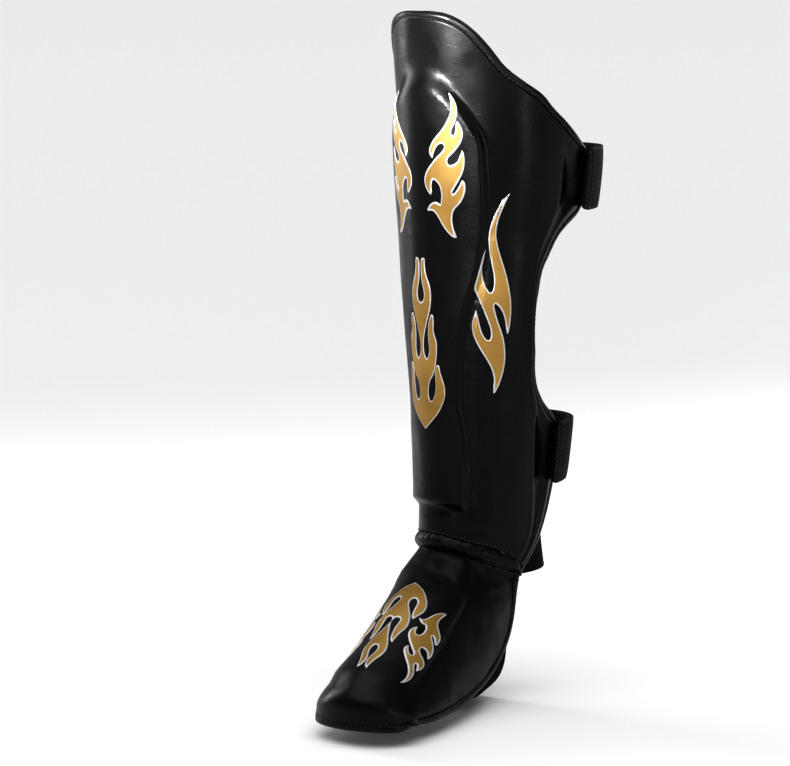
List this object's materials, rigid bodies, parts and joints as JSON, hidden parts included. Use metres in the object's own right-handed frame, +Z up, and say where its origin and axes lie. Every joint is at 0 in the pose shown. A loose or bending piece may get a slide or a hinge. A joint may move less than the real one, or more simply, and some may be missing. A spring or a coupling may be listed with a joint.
{
  "type": "shin guard",
  "caption": "Padded shin and instep guard for striking sports: glossy black leather over foam with rolled edges, flame inlays, an ankle gusset, calf straps and ankle and foot elastics.",
  "frame": {"origin": "on the leg's axis at the middle of the calf, where the guard is held", "axes": "+Z up along the shin, -Y the way the shin faces, +X the outer side of the left leg"},
  "size_m": [0.1407, 0.2721, 0.4766],
  "materials": {
    "black_leather": "glossy synthetic leather over foam, with gold foil flames",
    "binding_leather": "satin rolled edge binding, stitched",
    "strap_webbing": "brushed hook-and-loop webbing, stitched at the ends",
    "black_elastic": "matte ribbed elastic"
  },
  "bodies": {
    "root": {"shin_shell": "black_leather", "ankle_gusset": "black_leather", "instep_shell": "black_leather", "shin_binding": "binding_leather", "instep_binding": "binding_leather", "upper_strap": "strap_webbing", "lower_strap": "strap_webbing", "ankle_elastic": "black_elastic", "foot_elastic": "black_elastic"}
  },
  "joints": []
}
